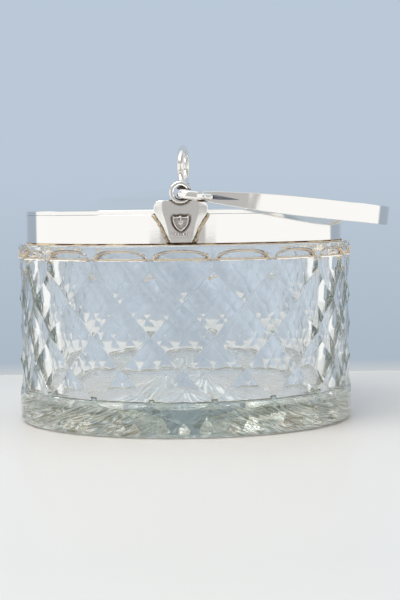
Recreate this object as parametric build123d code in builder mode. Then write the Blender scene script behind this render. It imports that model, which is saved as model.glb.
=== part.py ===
from build123d import *

import os
from math import asin, atan2, cos, degrees, hypot, radians, sin, sqrt

# Biscuit barrel: a pressed-glass bowl with a silver-plated collar, lid and swing handle.
# Millimetres, +Z up. The origin is the centre of the underside and the front is at -Y.

full_turn = 360.0
half_turn = 180.0
quarter_turn = 90.0
overrun = 1.0

# Glass bowl
glass_radius = 80.0
shoulder_height = 84.6
shoulder_width = 4.0
shoulder_round = 1.0
neck_height = 9.0
neck_wall = 4.5
neck_round = 1.0
wall_draft = 1.0
floor_thickness = 14.2
floor_round = 4.0
foot_round = 3.0

# Lens cuts round the outside of the bowl
column_count = 18
lens_depth = 1.5
base_band_height = 12.5
base_ledge_height = 2.7
lattice_steps = 4
top_row_share = 0.234
thumb_drop = 7.8
thumb_height = 5.2
thumb_half_angle = 9.3

# Star pressed in the underside
ray_count = 36
ray_depth = 2.0
ray_inner_radius = 5.0
ray_deep_radius = 57.0
ray_outer_radius = 67.0
ray_width_share = 0.94

# Collar and its bedding
band_height = 12.9
band_wall = 1.0
band_edge_round = 0.2
bedding_thickness = 0.6
bedding_gap = 0.5

# Lid
lid_seat_gap = 0.1
lid_sheet = 0.9
lid_skirt_height = 2.0
lid_edge_round = 0.5
dome_height = 9.9
dome_radius = 195.0
dome_seat_drop = 0.05
cove_outer_radius = 54.0
cove_radius = 18.6
bezel_wall = 0.8
bezel_side_gap = 0.4
bezel_neck_gap = 1.0

# Finial
ring_wire_diameter = 3.4
ring_outer_diameter = 20.8
ring_lift = 0.25
ring_turn_angle = 8.0
boss_radius = 3.3
boss_waist_radius = 2.6
boss_foot_height = 0.6
boss_height = 2.5
stud_diameter = 3.0
stud_hole_gap = 0.2
stud_end = 0.8
washer_radius = 4.0
washer_thickness = 0.6
nut_width = 5.5
nut_sides = 6
nut_thickness = 2.4

# Lugs: heights and drops are measured from the middle of the eye
lug_lean = 10.0
lug_thickness = 1.6
lug_side_gap = 0.5
ear_rise = 9.5
ear_radius = 4.95
ear_hole_radius = 2.9
ear_thickness = 2.4
ear_edge_round = 0.78
lug_top_drop = 3.48
lug_flat_half_width = 8.5
lobe_half_width = 11.8
lobe_drop = 6.5
hip_half_width = 10.1
hip_drop = 11.5
waist_half_width = 7.35
waist_drop = 16.4
foot_half_width = 5.7
foot_drop = 21.4
panel_top_half_width = 7.3
panel_half_width = 7.7
panel_lobe_drop = 4.6
panel_hip_half_width = 6.9
panel_waist_half_width = 5.85
panel_foot_half_width = 5.2
panel_foot_drop = 20.6
lug_lip_height = 1.1
lug_lip_half_width = 5.0

# Small relief on the face of each lug
shield_half_width = 3.4
shield_top_drop = 10.2
shield_height = 6.8
shield_dip = 0.5
shield_side_share = 0.86
shield_belly_share = 0.55
shield_relief = 0.8
shield_rim = 0.55
sprig_relief = 0.35
sprig_drop = 13.2
sprig_height = 3.2
leaf_pairs = 2
leaf_step = 0.9
leaf_length = 1.5
leaf_width = 0.7
leaf_spread_angle = 52.0
stem_width = 0.3
bead_count = 7
bead_radius = 0.42
bead_pitch = 1.15
bead_drop = 18.6

# Pad between each lug and the collar
pad_margin = 1.1
pad_edge_gap = 0.3

# Bail: lengths run outward from its pivot
hook_wire_diameter = 3.4
hook_side_gap = 0.3
hook_tip_length = 12.9
hook_tip_straight = 2.0
hook_front_straight = 3.6
hook_bend_radius = 3.0
solder_film = 0.05
bail_drop = 0.7
bail_stop_gap = 0.05
bail_band_start = 9.0
bail_straight_length = 20.0
bail_band_thickness = 2.0
bail_end_width = 4.2
bail_width = 8.8
bail_full_width_at = 60.0
bail_edge_round = 0.4

# Worked-out heights and radii
neck_top = shoulder_height + neck_height
band_radius = glass_radius - shoulder_width
band_inner_radius = band_radius - band_wall
band_bottom = shoulder_height + bedding_thickness
band_top = band_bottom + band_height
neck_radius = band_inner_radius - bedding_gap
mouth_radius = neck_radius - neck_wall
floor_radius = mouth_radius - wall_draft
skirt_bottom = band_top + lid_seat_gap
lid_top = skirt_bottom + lid_skirt_height
dome_top = lid_top + dome_height

# Pivot of the bail, and how far out everything at the lugs stands
hook_wire_radius = hook_wire_diameter / 2
hook_turn_radius = ear_thickness / 2 + hook_side_gap + hook_wire_radius
bail_leg_offset = band_radius + lug_side_gap + hook_wire_radius
ear_offset = bail_leg_offset + hook_turn_radius
ear_height = band_top + ear_rise
pivot_height = ear_height - bail_drop

# The hook comes to rest on the top of the lug, so that corner sets how far the bail hangs down
stop_drop = lug_top_drop * cos(radians(lug_lean)) - bail_drop
stop_reach = hypot(lug_flat_half_width, stop_drop)
stop_angle = degrees(atan2(stop_drop, lug_flat_half_width))
bail_rest_angle = stop_angle - degrees(asin((hook_wire_radius + bail_stop_gap) / stop_reach))
print("bail hangs below level by", round(bail_rest_angle, 3), "degrees")
print("pivot height", round(pivot_height, 3), "eye offset", round(ear_offset, 3))

os.makedirs("parts", exist_ok=True)


# The lens cuts are shallow arcs laid sideways, one row above the other, half a column apart.
# Their half height and their arc follow from the rule that four of them meet in each corner.
column_angle = full_turn / column_count
lens_apothem = glass_radius - lens_depth
lattice_foot = base_band_height + base_ledge_height
lattice_head = shoulder_height - thumb_drop
lens_half_height = (lattice_head - lattice_foot) / (lattice_steps + top_row_share)
corner_rise = lens_apothem * (1 / cos(radians(column_angle / 2)) - 1)
lens_arc_radius = (lens_half_height**2 + corner_rise**2) / (2 * corner_rise)
thumb_apothem = glass_radius * cos(radians(thumb_half_angle))
thumb_rise = glass_radius - thumb_apothem
thumb_arc_radius = (thumb_height**2 + thumb_rise**2) / (2 * thumb_rise)


def cut_reach(arc_radius, apothem):
    """Height at which the arc has left the glass."""
    return sqrt(arc_radius**2 - (apothem + arc_radius - glass_radius - overrun / 2) ** 2)


def lens_bar(arc_radius, apothem, low, high, foot_drop=0.0):
    """Bar along the tangent whose inner side is an arc, from low to high beside the arc's middle."""

    def arc_point(height):
        return (apothem + arc_radius - sqrt(arc_radius**2 - height**2), height)

    outer = glass_radius + overrun
    with BuildPart() as bar:
        with BuildSketch(Plane.XZ):
            with BuildLine():
                ThreePointArc(arc_point(low), arc_point((low + high) / 2), arc_point(high))
                Polyline(arc_point(high), (outer, high), (outer, low - foot_drop), arc_point(low))
            make_face()
        extrude(amount=sqrt(outer**2 - apothem**2), both=True)
    return bar.part


lens_reach = cut_reach(lens_arc_radius, lens_apothem)
thumb_reach = cut_reach(thumb_arc_radius, thumb_apothem)
ledge_foot = base_ledge_height * (lens_depth + overrun) / lens_depth
foot_lens = lens_bar(lens_arc_radius, lens_apothem, 0, lens_reach, ledge_foot)
full_lens = lens_bar(lens_arc_radius, lens_apothem, -lens_reach, lens_reach)
head_lens = lens_bar(lens_arc_radius, lens_apothem, -lens_reach, lens_half_height * top_row_share)
thumb_lens = lens_bar(thumb_arc_radius, thumb_apothem, 0, thumb_reach)
print("lens half height", round(lens_half_height, 3), "arc", round(lens_arc_radius, 2))

with BuildPart() as star_ray:
    with BuildSketch(Plane.YZ.offset(ray_deep_radius)):
        half_ray = ray_deep_radius * sin(radians(half_turn / ray_count)) * ray_width_share
        with BuildLine():
            Polyline((-half_ray, -overrun), (half_ray, -overrun), (0, ray_depth), close=True)
        make_face()
    ray_section = star_ray.pending_faces[0]
    inner_tip = Vertex(ray_inner_radius, 0, -overrun)
    outer_tip = Vertex(ray_outer_radius, 0, -overrun)
    loft([inner_tip, ray_section, outer_tip], ruled=True)
    star_ray.pending_faces.clear()

with BuildPart() as glass_bowl:
    with BuildSketch(Plane.XZ):
        with BuildLine():
            FilletPolyline(
                (0, 0),
                (glass_radius, 0),
                (glass_radius, shoulder_height),
                (neck_radius, shoulder_height),
                (neck_radius, neck_top),
                (mouth_radius, neck_top),
                (floor_radius, floor_thickness),
                (0, floor_thickness),
                radius=[0, foot_round, shoulder_round, 0, neck_round, neck_round, floor_round, 0],
                close=True,
            )
        make_face()
    revolve(axis=Axis.Z)
    for step in range(lattice_steps + 1):
        row_lens = foot_lens if step == 0 else head_lens if step == lattice_steps else full_lens
        row_start = -quarter_turn + column_angle / 2 * (step % 2)
        with Locations((0, 0, lattice_foot + lens_half_height * step)):
            with PolarLocations(0, column_count, start_angle=row_start):
                add(row_lens, mode=Mode.SUBTRACT)
    with Locations((0, 0, lattice_head)):
        with PolarLocations(0, column_count, start_angle=-quarter_turn):
            add(thumb_lens, mode=Mode.SUBTRACT)
    with PolarLocations(0, ray_count):
        add(star_ray.part, mode=Mode.SUBTRACT)
glass_bowl.part.label = "glass_bowl"

# The bedding fills the gap round the neck and shows as a thin line under the collar
with BuildPart() as plaster_bedding:
    with BuildSketch(Plane.XZ):
        with BuildLine():
            Polyline(
                (neck_radius, shoulder_height),
                (band_radius, shoulder_height),
                (band_radius, band_bottom),
                (band_inner_radius, band_bottom),
                (band_inner_radius, neck_top - neck_round),
                (neck_radius, neck_top - neck_round),
                close=True,
            )
        make_face()
    revolve(axis=Axis.Z)
plaster_bedding.part.label = "plaster_bedding"

with BuildPart() as rim_band:
    with BuildSketch(Plane.XZ):
        with Locations((band_inner_radius, band_bottom)):
            RectangleRounded(band_wall, band_height, band_edge_round, align=(Align.MIN, Align.MIN))
    revolve(axis=Axis.Z)
rim_band.part.label = "rim_band"


def lid_section(inset):
    """Half section of the solid under the lid's outer skin, drawn in by the inset."""
    dome_centre = dome_top + dome_seat_drop - dome_radius
    corner = (Align.MIN, Align.MIN)
    with BuildSketch(Plane.XZ) as section:
        with Locations((0, skirt_bottom)):
            Rectangle(cove_outer_radius, dome_top - inset - skirt_bottom, align=corner)
        with Locations((0, dome_centre)):
            Circle(dome_radius - inset, mode=Mode.INTERSECT)
        with Locations((cove_outer_radius, lid_top + cove_radius)):
            Circle(cove_radius + inset, mode=Mode.SUBTRACT)
        with Locations((0, skirt_bottom)):
            Rectangle(band_radius - inset, lid_skirt_height - inset, align=corner)
        if inset == 0:
            rim_corner = section.vertices().sort_by_distance((band_radius, lid_top))[0]
            fillet(rim_corner, radius=lid_edge_round)
    return section.sketch


with BuildPart() as lid:
    revolve(lid_section(0), axis=Axis.Z)
    revolve(lid_section(lid_sheet), axis=Axis.Z, mode=Mode.SUBTRACT)
    with Locations((0, 0, dome_top)):
        Hole(radius=stud_diameter / 2 + stud_hole_gap)
lid.part.label = "lid"

bezel_radius = band_inner_radius - bezel_side_gap
bezel_bottom = neck_top + bezel_neck_gap
bezel_top = lid_top - lid_sheet
with BuildPart() as lid_bezel:
    with BuildSketch(Plane.XY.offset(bezel_bottom)):
        Circle(bezel_radius)
        Circle(bezel_radius - bezel_wall, mode=Mode.SUBTRACT)
    extrude(amount=bezel_top - bezel_bottom)
lid_bezel.part.label = "lid_bezel"

# The finial's ring is brazed into a saddle in the boss
ring_plane = Plane(
    origin=(0, 0, dome_top + ring_lift + ring_outer_diameter / 2),
    x_dir=(sin(radians(ring_turn_angle)), cos(radians(ring_turn_angle)), 0),
    z_dir=(cos(radians(ring_turn_angle)), -sin(radians(ring_turn_angle)), 0),
)
with BuildPart(ring_plane) as finial_ring:
    Torus((ring_outer_diameter - ring_wire_diameter) / 2, ring_wire_diameter / 2)
finial_ring.part.label = "finial_ring"

with BuildPart() as finial_boss:
    with BuildSketch(Plane.XZ):
        with BuildLine():
            Line((0, dome_top), (boss_radius, dome_top))
            Line((boss_radius, dome_top), (boss_radius, dome_top + boss_foot_height))
            ThreePointArc(
                (boss_radius, dome_top + boss_foot_height),
                (boss_waist_radius, dome_top + (boss_height + boss_foot_height) / 2),
                (boss_radius - (boss_radius - boss_waist_radius) / 2, dome_top + boss_height),
            )
            Polyline(
                (boss_radius - (boss_radius - boss_waist_radius) / 2, dome_top + boss_height),
                (0, dome_top + boss_height),
                (0, dome_top),
            )
        make_face()
    revolve(axis=Axis.Z)
    add(finial_ring.part, mode=Mode.SUBTRACT)
finial_boss.part.label = "finial_boss"

washer_bottom = dome_top - lid_sheet - washer_thickness
nut_bottom = washer_bottom - nut_thickness
with BuildPart() as finial_stud:
    with BuildSketch(Plane.XY.offset(nut_bottom - stud_end)):
        Circle(stud_diameter / 2)
    extrude(amount=dome_top - nut_bottom + stud_end)
finial_stud.part.label = "finial_stud"

with BuildPart() as finial_washer:
    with BuildSketch(Plane.XY.offset(washer_bottom)):
        Circle(washer_radius)
        Circle(stud_diameter / 2 + stud_hole_gap, mode=Mode.SUBTRACT)
    extrude(amount=washer_thickness)
finial_washer.part.label = "finial_washer"

with BuildPart() as finial_nut:
    with BuildSketch(Plane.XY.offset(nut_bottom)):
        RegularPolygon(nut_width / 2, nut_sides, major_radius=False)
        Circle(stud_diameter / 2, mode=Mode.SUBTRACT)
    extrude(amount=nut_thickness)
finial_nut.part.label = "finial_nut"

# The lug's plate leans out at the top and its eye stands upright
lug_plane = Plane(
    origin=(0, -ear_offset, ear_height),
    x_dir=(1, 0, 0),
    z_dir=(0, -cos(radians(lug_lean)), -sin(radians(lug_lean))),
)
back_plane = lug_plane.offset(-lug_thickness / 2)
face_plane = lug_plane.offset(lug_thickness / 2)
eye_plane = Plane(origin=(0, -ear_offset, ear_height), x_dir=(1, 0, 0), z_dir=(0, -1, 0))
round_corner_share = sin(radians(quarter_turn / 2))
lobe_bulge_share = 0.04


def lug_outline(flat, lobe, lobe_at, hip, waist, foot, foot_at):
    """Closed outline of a lug: half widths from the flat top down to the foot."""
    corner = (
        flat + (lobe - flat) * round_corner_share,
        -lobe_at + (lobe_at - lug_top_drop) * round_corner_share,
    )
    lobe_middle = ((lobe + hip) / 2 + lobe * lobe_bulge_share, -(lobe_at + hip_drop) / 2)
    with BuildLine() as outline:
        Line((0, -lug_top_drop), (flat, -lug_top_drop))
        ThreePointArc((flat, -lug_top_drop), corner, (lobe, -lobe_at))
        ThreePointArc((lobe, -lobe_at), lobe_middle, (hip, -hip_drop))
        ThreePointArc((hip, -hip_drop), (waist, -waist_drop), (foot, -foot_at))
        Line((foot, -foot_at), (0, -foot_at))
        mirror(about=Plane.YZ)
    return outline.edges()


def casting_outline():
    """Outline of the whole casting."""
    return lug_outline(
        lug_flat_half_width,
        lobe_half_width,
        lobe_drop,
        hip_half_width,
        waist_half_width,
        foot_half_width,
        foot_drop,
    )


def panel_outline():
    """Outline of the flat panel on its face."""
    return lug_outline(
        panel_top_half_width,
        panel_half_width,
        panel_lobe_drop,
        panel_hip_half_width,
        panel_waist_half_width,
        panel_foot_half_width,
        panel_foot_drop,
    )


with BuildPart() as front_lug:
    with BuildSketch(eye_plane):
        Circle(ear_radius)
        Circle(ear_hole_radius, mode=Mode.SUBTRACT)
    extrude(amount=ear_thickness / 2, both=True)
    fillet(front_lug.edges().filter_by(GeomType.CIRCLE), radius=ear_edge_round)
    # The back half of the plate is flat, and its front half bevels in to a flat panel
    with BuildSketch(back_plane):
        make_face(casting_outline())
    extrude(amount=lug_thickness / 2)
    with BuildSketch(lug_plane):
        make_face(casting_outline())
    with BuildSketch(face_plane):
        make_face(panel_outline())
    loft(ruled=True)
    with BuildSketch(back_plane):
        with Locations((0, -foot_drop)):
            SlotOverall(2 * lug_lip_half_width, 2 * lug_lip_height)
    extrude(amount=lug_thickness)
    # A shield with a raised rim and a leafy sprig in it
    with BuildSketch(face_plane) as shield:
        with BuildLine():
            ThreePointArc(
                (0, -shield_top_drop),
                (shield_half_width / 2, -shield_top_drop - shield_dip),
                (shield_half_width, -shield_top_drop),
            )
            belly_drop = shield_top_drop + shield_height * shield_belly_share
            ThreePointArc(
                (shield_half_width, -shield_top_drop),
                (shield_half_width * shield_side_share, -belly_drop),
                (0, -shield_top_drop - shield_height),
            )
            mirror(about=Plane.YZ)
        make_face()
    extrude(amount=shield_relief)
    with BuildSketch(face_plane.offset(shield_relief)):
        add(offset(shield.sketch_local, amount=-shield_rim, mode=Mode.PRIVATE))
    extrude(amount=-sprig_relief, mode=Mode.SUBTRACT)
    with BuildSketch(face_plane.offset(shield_relief - sprig_relief)):
        with Locations((0, -sprig_drop)):
            Rectangle(stem_width, sprig_height)
        for level in range(leaf_pairs):
            leaf_root = -sprig_drop - sprig_height / 2 + leaf_step * (level + 1)
            for side in (-1, 1):
                leaf_middle = (
                    side * leaf_length / 2 * sin(radians(leaf_spread_angle)),
                    leaf_root + leaf_length / 2 * cos(radians(leaf_spread_angle)),
                )
                with Locations(leaf_middle):
                    Ellipse(leaf_width / 2, leaf_length / 2, rotation=-side * leaf_spread_angle)
        with Locations((0, -sprig_drop + sprig_height / 2)):
            Ellipse(leaf_width / 2, leaf_length / 2)
    extrude(amount=sprig_relief)
    # A row of small beads under the shield
    with Locations(face_plane):
        with Locations((0, -bead_drop)):
            with GridLocations(bead_pitch, 0, bead_count, 1):
                Sphere(bead_radius)
front_lug.part.label = "front_lug"

with BuildPart() as back_lug:
    add(front_lug.part, rotation=(0, 0, half_turn))
back_lug.part.label = "back_lug"

# The pad is a wedge between the leaning lug and the upright collar
with BuildPart() as front_lug_seat:
    with BuildSketch(back_plane):
        make_face(casting_outline())
        offset(amount=pad_margin)
    extrude(amount=-(ear_offset - band_radius))
    with BuildSketch(Plane.XY.offset(band_bottom)):
        Circle(band_radius)
    extrude(amount=band_height, mode=Mode.SUBTRACT)
    with BuildSketch(Plane.XY.offset(band_bottom + pad_edge_gap)):
        Rectangle(2 * ear_offset, 2 * ear_offset)
    extrude(amount=band_height - 2 * pad_edge_gap, mode=Mode.INTERSECT)
front_lug_seat.part.label = "front_lug_seat"

with BuildPart() as back_lug_seat:
    add(front_lug_seat.part, rotation=(0, 0, half_turn))
back_lug_seat.part.label = "back_lug_seat"

# The bail is drawn in its own plane: x runs from the pivot to the grip, y along the pivot
bail_slope = radians(bail_rest_angle)
bail_plane = Plane(
    origin=(0, 0, pivot_height),
    x_dir=(cos(bail_slope), 0, -sin(bail_slope)),
    z_dir=(sin(bail_slope), 0, cos(bail_slope)),
)
bail_side_plane = Plane(
    origin=(0, 0, pivot_height), x_dir=(cos(bail_slope), 0, -sin(bail_slope)), z_dir=(0, -1, 0)
)
leg_outer = bail_leg_offset + bail_band_thickness / 2
leg_inner = bail_leg_offset - bail_band_thickness / 2
bail_reach = bail_straight_length + leg_outer

with BuildPart() as bail_band:
    with BuildSketch(bail_plane):
        with BuildLine():
            Line((bail_band_start, leg_outer), (bail_straight_length, leg_outer))
            ThreePointArc(
                (bail_straight_length, leg_outer),
                (bail_reach, 0),
                (bail_straight_length, -leg_outer),
            )
            Polyline(
                (bail_straight_length, -leg_outer),
                (bail_band_start, -leg_outer),
                (bail_band_start, -leg_inner),
                (bail_straight_length, -leg_inner),
            )
            ThreePointArc(
                (bail_straight_length, -leg_inner),
                (bail_straight_length + leg_inner, 0),
                (bail_straight_length, leg_inner),
            )
            Polyline(
                (bail_straight_length, leg_inner), (bail_band_start, leg_inner), (bail_band_start, leg_outer)
            )
        make_face()
    extrude(amount=bail_width, both=True)
    with BuildSketch(bail_side_plane):
        with BuildLine():
            TangentArc(
                (bail_full_width_at, bail_width / 2), (bail_band_start, bail_end_width / 2), tangent=(-1, 0)
            )
            Line((bail_full_width_at, bail_width / 2), (bail_reach + overrun, bail_width / 2))
            mirror(about=Plane.XZ)
            Line((bail_band_start, -bail_end_width / 2), (bail_band_start, bail_end_width / 2))
            Line((bail_reach + overrun, -bail_width / 2), (bail_reach + overrun, bail_width / 2))
        make_face()
    extrude(amount=leg_outer + overrun, both=True, mode=Mode.INTERSECT)
    long_edges = bail_band.edges().filter_by(lambda edge: edge.length > 2 * bail_end_width)
    fillet(long_edges, radius=bail_edge_round)
bail_band.part.label = "bail_band"

# Each hook is a round bar: back bar, half turn through the eye, and a front bar that closes on the band
hook_far = bail_leg_offset + 2 * hook_turn_radius
hook_tip_offset = leg_outer + hook_wire_radius + solder_film
with BuildPart() as front_bail_hook:
    with BuildLine(bail_plane) as hook_path:
        Line((bail_band_start, -bail_leg_offset), (hook_turn_radius, -bail_leg_offset))
        ThreePointArc(
            (hook_turn_radius, -bail_leg_offset), (0, -ear_offset), (hook_turn_radius, -hook_far)
        )
        FilletPolyline(
            (hook_turn_radius, -hook_far),
            (hook_turn_radius + hook_front_straight, -hook_far),
            (hook_tip_length - hook_tip_straight, -hook_tip_offset),
            (hook_tip_length, -hook_tip_offset),
            radius=hook_bend_radius,
        )
    with BuildSketch(Plane(origin=hook_path.line @ 0, z_dir=hook_path.line % 0)):
        Circle(hook_wire_radius)
    sweep(path=hook_path.line)
    with Locations(hook_path.line @ 1):
        Sphere(hook_wire_radius)
front_bail_hook.part.label = "front_bail_hook"

with BuildPart() as back_bail_hook:
    mirror(front_bail_hook.part, about=Plane.XZ)
back_bail_hook.part.label = "back_bail_hook"

pieces = [
    glass_bowl,
    plaster_bedding,
    rim_band,
    front_lug,
    back_lug,
    front_lug_seat,
    back_lug_seat,
    lid,
    lid_bezel,
    finial_boss,
    finial_ring,
    finial_stud,
    finial_washer,
    finial_nut,
    bail_band,
    front_bail_hook,
    back_bail_hook,
]
for piece in pieces:
    export_step(piece.part, f"parts/{piece.part.label}.step")
print(len(pieces), "pieces written")
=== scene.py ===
# %% [markdown]
# # A pressed-glass biscuit barrel
# A low round glass bowl with a cut-diamond pattern carries a silver-plated collar, a loose domed lid and a
# flat swing handle. The frame brings every solid in at its real size, in metres. Where a solid already has
# the right form it stays and only gets a finish. The glass, the handle and the cast lugs are built again
# here, because clear glass and mirror-bright metal show every facet of a coarse mesh.

from math import cos, degrees, hypot, pi, radians, sin, sqrt, tau

import bmesh
import bpy
from mathutils import Matrix, Vector


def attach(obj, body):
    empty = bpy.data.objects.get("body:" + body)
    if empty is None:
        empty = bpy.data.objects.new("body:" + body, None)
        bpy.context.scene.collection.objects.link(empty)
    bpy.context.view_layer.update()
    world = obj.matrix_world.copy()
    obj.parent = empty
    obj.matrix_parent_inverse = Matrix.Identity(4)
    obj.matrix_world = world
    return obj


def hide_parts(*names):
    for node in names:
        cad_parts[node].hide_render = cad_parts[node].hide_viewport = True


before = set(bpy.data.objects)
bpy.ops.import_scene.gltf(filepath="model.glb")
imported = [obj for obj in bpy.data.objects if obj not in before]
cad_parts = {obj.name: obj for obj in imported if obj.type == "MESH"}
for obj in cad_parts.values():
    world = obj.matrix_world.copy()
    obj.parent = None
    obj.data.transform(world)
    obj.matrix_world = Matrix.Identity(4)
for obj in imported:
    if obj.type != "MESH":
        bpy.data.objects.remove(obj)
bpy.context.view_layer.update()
mm = 0.001

# %% [markdown]
# ## Camera
# The photograph was taken with a long lens from just above the lid, so upright walls stay nearly upright,
# and it leans a little. Light crosses thick cut glass many times before it comes out, so its path may
# bounce more often than usual.

# %% Camera
focal_length, nearest_drawn = 94.1, 0.05
camera_place = (0.013, -0.76, 0.1002)
camera_turn, camera_pitch, camera_roll = radians(0.43), radians(90 - 3.32), radians(-0.7)
glass_bounces, mirror_bounces = 32, 10


def new_object(name, data):
    """An object that holds a mesh, a lamp or a camera, linked to the scene."""
    item = bpy.data.objects.new(name, data)
    bpy.context.scene.collection.objects.link(item)
    return item


camera_data = bpy.data.cameras.new("long_lens")
camera_data.lens = focal_length
camera_data.clip_start = nearest_drawn
camera = new_object("long_lens", camera_data)
aim = Matrix.Rotation(camera_turn, 4, "Z") @ Matrix.Rotation(camera_pitch, 4, "X")
aim = aim @ Matrix.Rotation(camera_roll, 4, "Z")
camera.matrix_world = Matrix.Translation(camera_place) @ aim
bpy.context.scene.camera = camera
bpy.context.scene.view_settings.view_transform = "Standard"
bpy.context.scene.cycles.max_bounces = glass_bounces
bpy.context.scene.cycles.transmission_bounces = glass_bounces
bpy.context.scene.cycles.glossy_bounces = mirror_bounces
print("camera looks down by", round(90 - degrees(camera_pitch), 2), "degrees")

# %% [markdown]
# ## Small helpers for shaders
# A material is a graph of nodes, which take values in and give them out through sockets. Written out node
# by node, a finish is hard to follow. Each helper adds one kind of node and hands back the socket with its
# result, so that the finishes below read as lists of what they are made of.


# %% Shader helpers
def add_node(tree, kind, inputs=None, **settings):
    """Adds a node, sets its properties, and fills its sockets with values or links."""
    node = tree.nodes.new("ShaderNode" + kind)
    for name, value in settings.items():
        setattr(node, name, value)
    for name, value in (inputs or {}).items():
        if isinstance(value, bpy.types.NodeSocket):
            tree.links.new(value, node.inputs[name])
        else:
            node.inputs[name].default_value = value
    return node


def add_after(kind, inputs, **settings):
    """Adds a node to the tree of the first socket it is linked to, and returns its outputs."""
    linked = next(value for value in inputs.values() if isinstance(value, bpy.types.NodeSocket))
    return add_node(linked.id_data, kind, inputs, **settings).outputs


def maths(operation, *values):
    """The result of one step of arithmetic."""
    return add_after("Math", dict(enumerate(values)), operation=operation)[0]


def overlap(first, *others):
    """A mask that is on only where all the given masks are on."""
    for other in others:
        first = maths("MULTIPLY", first, other)
    return first


def fade(value, start, end, low=0.0, high=1.0):
    """Goes from low to high as the value goes from start to end, and stays level outside them."""
    ends = {"Value": value, "From Min": start, "From Max": end, "To Min": low, "To Max": high}
    return add_after("MapRange", ends)[0]


def between(share, first, second):
    """Goes from the first value to the second as the share goes from 0 to 1."""
    return fade(share, 0.0, 1.0, first, second)


def mix_paint(share, first, second):
    """The same for colours, which are sockets 6 and 7 of a Mix node."""
    return add_after("Mix", {"Factor": share, 6: first, 7: second}, data_type="RGBA")[2]


def mix_light(share, first, second):
    """The same for two shaders."""
    return add_after("MixShader", {0: share, 1: first, 2: second})[0]


def cloudy(place, scale, detail, roughness=0.5, distortion=0.0):
    """A cloudy pattern of values round 0.5."""
    inputs = {"Vector": place, "Scale": scale, "Detail": detail}
    return add_after("TexNoise", inputs | {"Roughness": roughness, "Distortion": distortion})["Fac"]


def stretch(place, scale):
    """A place measured with its own scale along each axis, which draws a pattern out."""
    return add_after("Mapping", {"Vector": place, "Scale": scale})[0]


def bump(height, strength, distance, under=None):
    """A fine relief that only bends the light. It can lie over another one."""
    inputs = {"Height": height, "Strength": strength, "Distance": distance}
    return add_after("Bump", inputs | ({"Normal": under} if under else {}))[0]


print("node helpers ready")


# %% Helpers for places and materials
def on_object(tree):
    """The place on the surface, measured from the object's own origin."""
    return add_node(tree, "TexCoord").outputs["Object"]


def split(place):
    """The X, Y and Z of a place."""
    return add_after("SeparateXYZ", {"Vector": place})


def distance_from_axis(place):
    """How far a place lies from the upright axis of the barrel."""
    level = add_after("VectorMath", {0: place, 1: (1, 1, 0)}, operation="MULTIPLY")[0]
    return add_after("VectorMath", {0: level}, operation="LENGTH")["Value"]


def bearing_of(axes):
    """The angle round the barrel, 0 at the front."""
    return maths("ARCTAN2", axes["X"], maths("SUBTRACT", 0.0, axes["Y"]))


def new_material(name):
    """An empty material and its node tree."""
    material = bpy.data.materials.new(name)
    material.use_nodes = True
    material.node_tree.nodes.clear()
    return material, material.node_tree


def finish_with(shader):
    """Links a shader to a new material output and returns the output."""
    return add_node(shader.id_data, "OutputMaterial", {"Surface": shader})


def finish_solid(sockets):
    """Ends a material with one Principled shader that has these sockets."""
    return finish_with(add_after("BsdfPrincipled", sockets)[0])


def coat(mesh, *finishes):
    """Gives a mesh these materials and no others."""
    mesh.materials.clear()
    for finish in finishes:
        mesh.materials.append(finish)


def glow_of(tree, paint):
    """A surface that gives light of this colour at strength 1."""
    return add_node(tree, "Emission", {"Color": paint}).outputs[0]


def fade_near(value, level, start, end):
    """Goes from 0 to 1 between two distances from a level. All three are in millimetres."""
    return fade(value, (level + start) * mm, (level + end) * mm)


print("material helpers ready")

# %% [markdown]
# ## Studio
# Polished metal and clear glass have no colour of their own: they show the room. So the room comes first:
# a white floor, a pale blue board close behind the barrel and a sky with grey walls. Real sheets need many
# lamps to look even. These give their own light, which costs less time and leaves no grain.

# %% Sheets and colours of the studio
room_white, front_grey = (1.0, 1.0, 0.99, 1), (0.52, 0.51, 0.5, 1)
board_blue, board_shade = (0.491, 0.578, 0.680, 1), (0.408, 0.480, 0.564, 1)
room_size = 3.0


def stage_plane(name, corner, across, up, material):
    """A flat sheet from a corner and its two edges."""
    corner, across, up = Vector(corner), Vector(across), Vector(up)
    mesh = bpy.data.meshes.new(name)
    mesh.from_pydata([corner, corner + across, corner + across + up, corner + up], [], [(0, 1, 2, 3)])
    coat(mesh, material)
    sheet = new_object(name, mesh)


print("the room reaches", room_size, "m from its middle")

# %% [markdown]
# ### The blue board
# The camera sees a plain blue board. Metal and glass also look past its edges, where the room is white.
# Light Path tells the rays apart, so one sheet serves both. Rays that come through the glass meet soft
# blotches, which keep the diamonds from looking flat. The back is clear for a camera behind the barrel.

# %% Where the board turns white
board_distance, board_half_width, board_edge = 0.2, 0.31, 0.03
wing_height, wing_edge = 0.3, 0.1
board_material, tree = new_material("blue_board")
place = add_node(tree, "NewGeometry").outputs
paths = add_node(tree, "LightPath").outputs
axes = split(place["Position"])
side = maths("ABSOLUTE", axes["X"])
beside = fade(side, board_half_width, board_half_width + board_edge)
low_down = fade(axes["Z"], wing_height + wing_edge, wing_height)
not_camera = maths("SUBTRACT", 1.0, paths["Is Camera Ray"])
white_share = overlap(beside, low_down, not_camera)
print("board half width", board_half_width, "m")

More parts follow.
